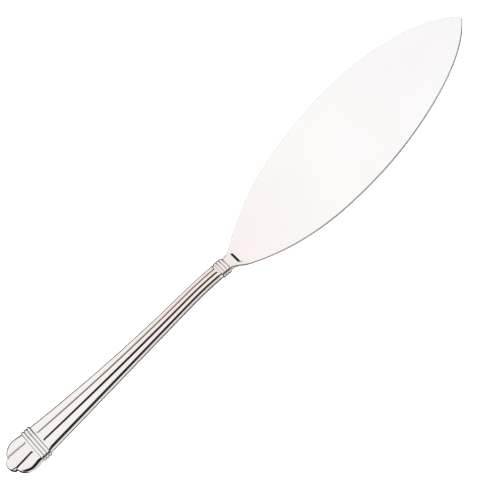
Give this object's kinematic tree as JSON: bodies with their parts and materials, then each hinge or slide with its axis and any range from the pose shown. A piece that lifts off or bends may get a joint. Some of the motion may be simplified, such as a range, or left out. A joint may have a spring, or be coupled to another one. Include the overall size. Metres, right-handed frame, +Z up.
{
  "type": "fish serving knife",
  "caption": "Fish serving knife with a flat leaf blade on a cranked neck and a hollow fluted handle with beaded bands and a lobed butt",
  "frame": {"origin": "middle of the footprint, on the surface that the leaf lies on", "axes": "+X along the knife towards the tip, +Y across the leaf, +Z up, away from the surface"},
  "size_m": [0.2906, 0.049, 0.0267],
  "materials": {
    "polished_silver": "mirror-polished silver plate",
    "handle_cement": "dull set resin cement"
  },
  "bodies": {
    "root": {"blade": "polished_silver", "neck_ferrule": "polished_silver", "handle_front_shell": "polished_silver", "handle_back_shell": "polished_silver", "butt_band": "polished_silver", "butt_cap": "polished_silver", "handle_filler": "handle_cement"}
  },
  "joints": []
}
